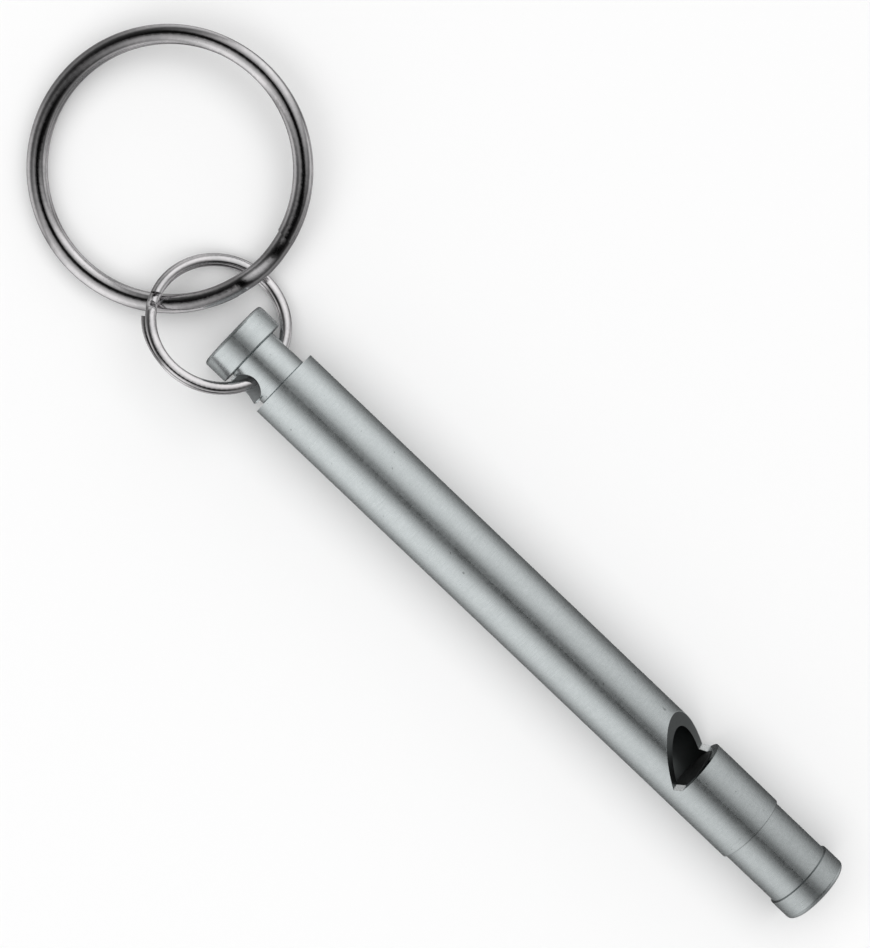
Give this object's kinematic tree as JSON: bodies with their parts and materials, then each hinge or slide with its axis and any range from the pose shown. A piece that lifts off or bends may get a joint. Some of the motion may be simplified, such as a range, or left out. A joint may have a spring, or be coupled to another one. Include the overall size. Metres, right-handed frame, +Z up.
{
  "type": "training whistle",
  "caption": "Slim metal training whistle with a slanted voicing window, a grip groove at the mouth end and a hanger that carries linked split rings.",
  "frame": {"origin": "on the whistle's axis, at the tube's end face behind the neck", "axes": "+X along the whistle's axis towards the mouth end, +Z up from the surface that the whistle lies on, +Y completes the right-handed frame"},
  "size_m": [0.1149, 0.0299, 0.0082],
  "materials": {
    "satin_aluminium": "satin",
    "turned_aluminium": "fine turned",
    "block_plastic": "matt",
    "polished_wire": "polished"
  },
  "bodies": {
    "whistle": {"whistle_tube": "satin_aluminium", "hanger_plug": "turned_aluminium", "windway_block": "block_plastic"},
    "small_ring": {"small_split_ring": "polished_wire"},
    "large_ring": {"large_split_ring": "polished_wire"}
  },
  "joints": [
    {"name": "small_ring_swing", "type": "hinge", "parent": "whistle", "child": "small_ring", "pos_m": [-0.00233, 0, 0], "axis": [0, -0.9205, 0.3907], "range_deg": [-120, 130]},
    {"name": "large_ring_tilt", "type": "hinge", "parent": "small_ring", "child": "large_ring", "pos_m": [-0.00907, -0.0002, -0.00046], "axis": [0.8751, -0.4814, 0.0487], "range_deg": [0, 100]}
  ]
}
